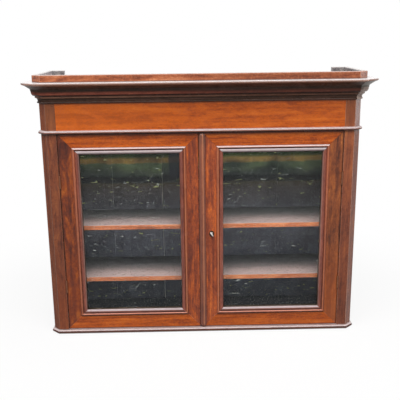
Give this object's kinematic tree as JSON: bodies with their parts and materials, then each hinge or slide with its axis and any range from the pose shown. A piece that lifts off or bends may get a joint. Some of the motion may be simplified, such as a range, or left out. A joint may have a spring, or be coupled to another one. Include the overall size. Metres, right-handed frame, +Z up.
{
  "type": "glazed bookcase",
  "caption": "Mahogany bookcase top with glazed doors, canted corner posts, fixed shelves, a moulded cornice and a low gallery, for books behind glass.",
  "frame": {"origin": "under the middle of the bounding box, on the plane the case stands on", "axes": "+X to the right along the width as seen from the front, +Y from the front to the back, +Z up; the doors face -Y"},
  "size_m": [1.312, 0.391, 1.02],
  "materials": {
    "mahogany": "french polished, glossy, orange brown with fine straight grain",
    "mahogany_dark": "french polished, glossy, darker figured grain",
    "mahogany_shelf": "satin, plain grain, dull from age",
    "back_wood": "matte dark stain",
    "glass": "clear old sheet glass",
    "brass": "aged, dull and dark",
    "steel": "worn bright"
  },
  "bodies": {
    "case": {"base_front": "mahogany", "base_left": "mahogany", "base_right": "mahogany", "waist_bead_front": "mahogany", "waist_bead_left": "mahogany", "waist_bead_right": "mahogany", "cornice_front": "mahogany", "cornice_left": "mahogany", "cornice_right": "mahogany", "gallery_front": "mahogany", "gallery_left": "mahogany", "gallery_right": "mahogany", "frieze_board": "mahogany", "cover_board": "mahogany_dark", "corner_post_left": "mahogany_dark", "corner_post_right": "mahogany_dark", "case_side_left": "mahogany_dark", "case_side_right": "mahogany_dark", "bottom_board": "mahogany_shelf", "top_board": "mahogany_shelf", "shelf_lower": "mahogany_shelf", "shelf_upper": "mahogany_shelf", "shelf_bearer_lower_left": "mahogany_shelf", "shelf_bearer_lower_right": "mahogany_shelf", "shelf_bearer_upper_left": "mahogany_shelf", "shelf_bearer_upper_right": "mahogany_shelf", "back_board_1": "back_wood", "back_board_2": "back_wood", "back_board_3": "back_wood", "back_board_4": "back_wood", "back_board_5": "back_wood", "hinge_left_lower_post_leaf": "brass", "hinge_left_upper_post_leaf": "brass", "hinge_right_lower_post_leaf": "brass", "hinge_right_upper_post_leaf": "brass"},
    "left_door": {"left_door_hinge_stile": "mahogany_dark", "left_door_meeting_stile": "mahogany_dark", "left_door_top_rail": "mahogany", "left_door_bottom_rail": "mahogany", "left_door_glass": "glass", "left_door_glazing_bead": "mahogany_shelf", "hinge_left_lower_door_leaf": "brass", "hinge_left_upper_door_leaf": "brass", "top_bolt_plate": "brass", "bottom_bolt_plate": "brass"},
    "right_door": {"right_door_hinge_stile": "mahogany_dark", "right_door_meeting_stile": "mahogany_dark", "right_door_top_rail": "mahogany", "right_door_bottom_rail": "mahogany", "right_door_glass": "glass", "right_door_glazing_bead": "mahogany_shelf", "hinge_right_lower_door_leaf": "brass", "hinge_right_upper_door_leaf": "brass", "right_door_cover_bead": "mahogany", "escutcheon": "brass", "lock_case": "brass"},
    "top_bolt": {"top_bolt": "brass"},
    "bottom_bolt": {"bottom_bolt": "brass"},
    "key": {"key": "steel"},
    "lock_bolt": {"lock_bolt": "brass"}
  },
  "joints": [
    {"name": "left_door_swing", "type": "hinge", "parent": "case", "child": "left_door", "pos_m": [-0.537, -0.1387, 0.4105], "axis": [0, 0, -1], "range_deg": [0, 110]},
    {"name": "right_door_swing", "type": "hinge", "parent": "case", "child": "right_door", "pos_m": [0.537, -0.1387, 0.4105], "axis": [0, 0, 1], "range_deg": [0, 110]},
    {"name": "top_bolt_slide", "type": "slide", "parent": "left_door", "child": "top_bolt", "axis": [0, 0, 1], "range_m": [0, 0.01]},
    {"name": "bottom_bolt_slide", "type": "slide", "parent": "left_door", "child": "bottom_bolt", "axis": [0, 0, -1], "range_m": [0, 0.01]},
    {"name": "key_turn", "type": "hinge", "parent": "right_door", "child": "key", "pos_m": [0.03765, -0.1395, 0.41], "axis": [0, 1, 0], "range_deg": [0, 90]},
    {"name": "lock_bolt_slide", "type": "slide", "parent": "right_door", "child": "lock_bolt", "axis": [-1, 0, 0], "range_m": [0, 0.009]}
  ],
  "couplings": [
    {"joint": "lock_bolt_slide", "follows": "key_turn", "m_per_rad": 0.0057295}
  ]
}
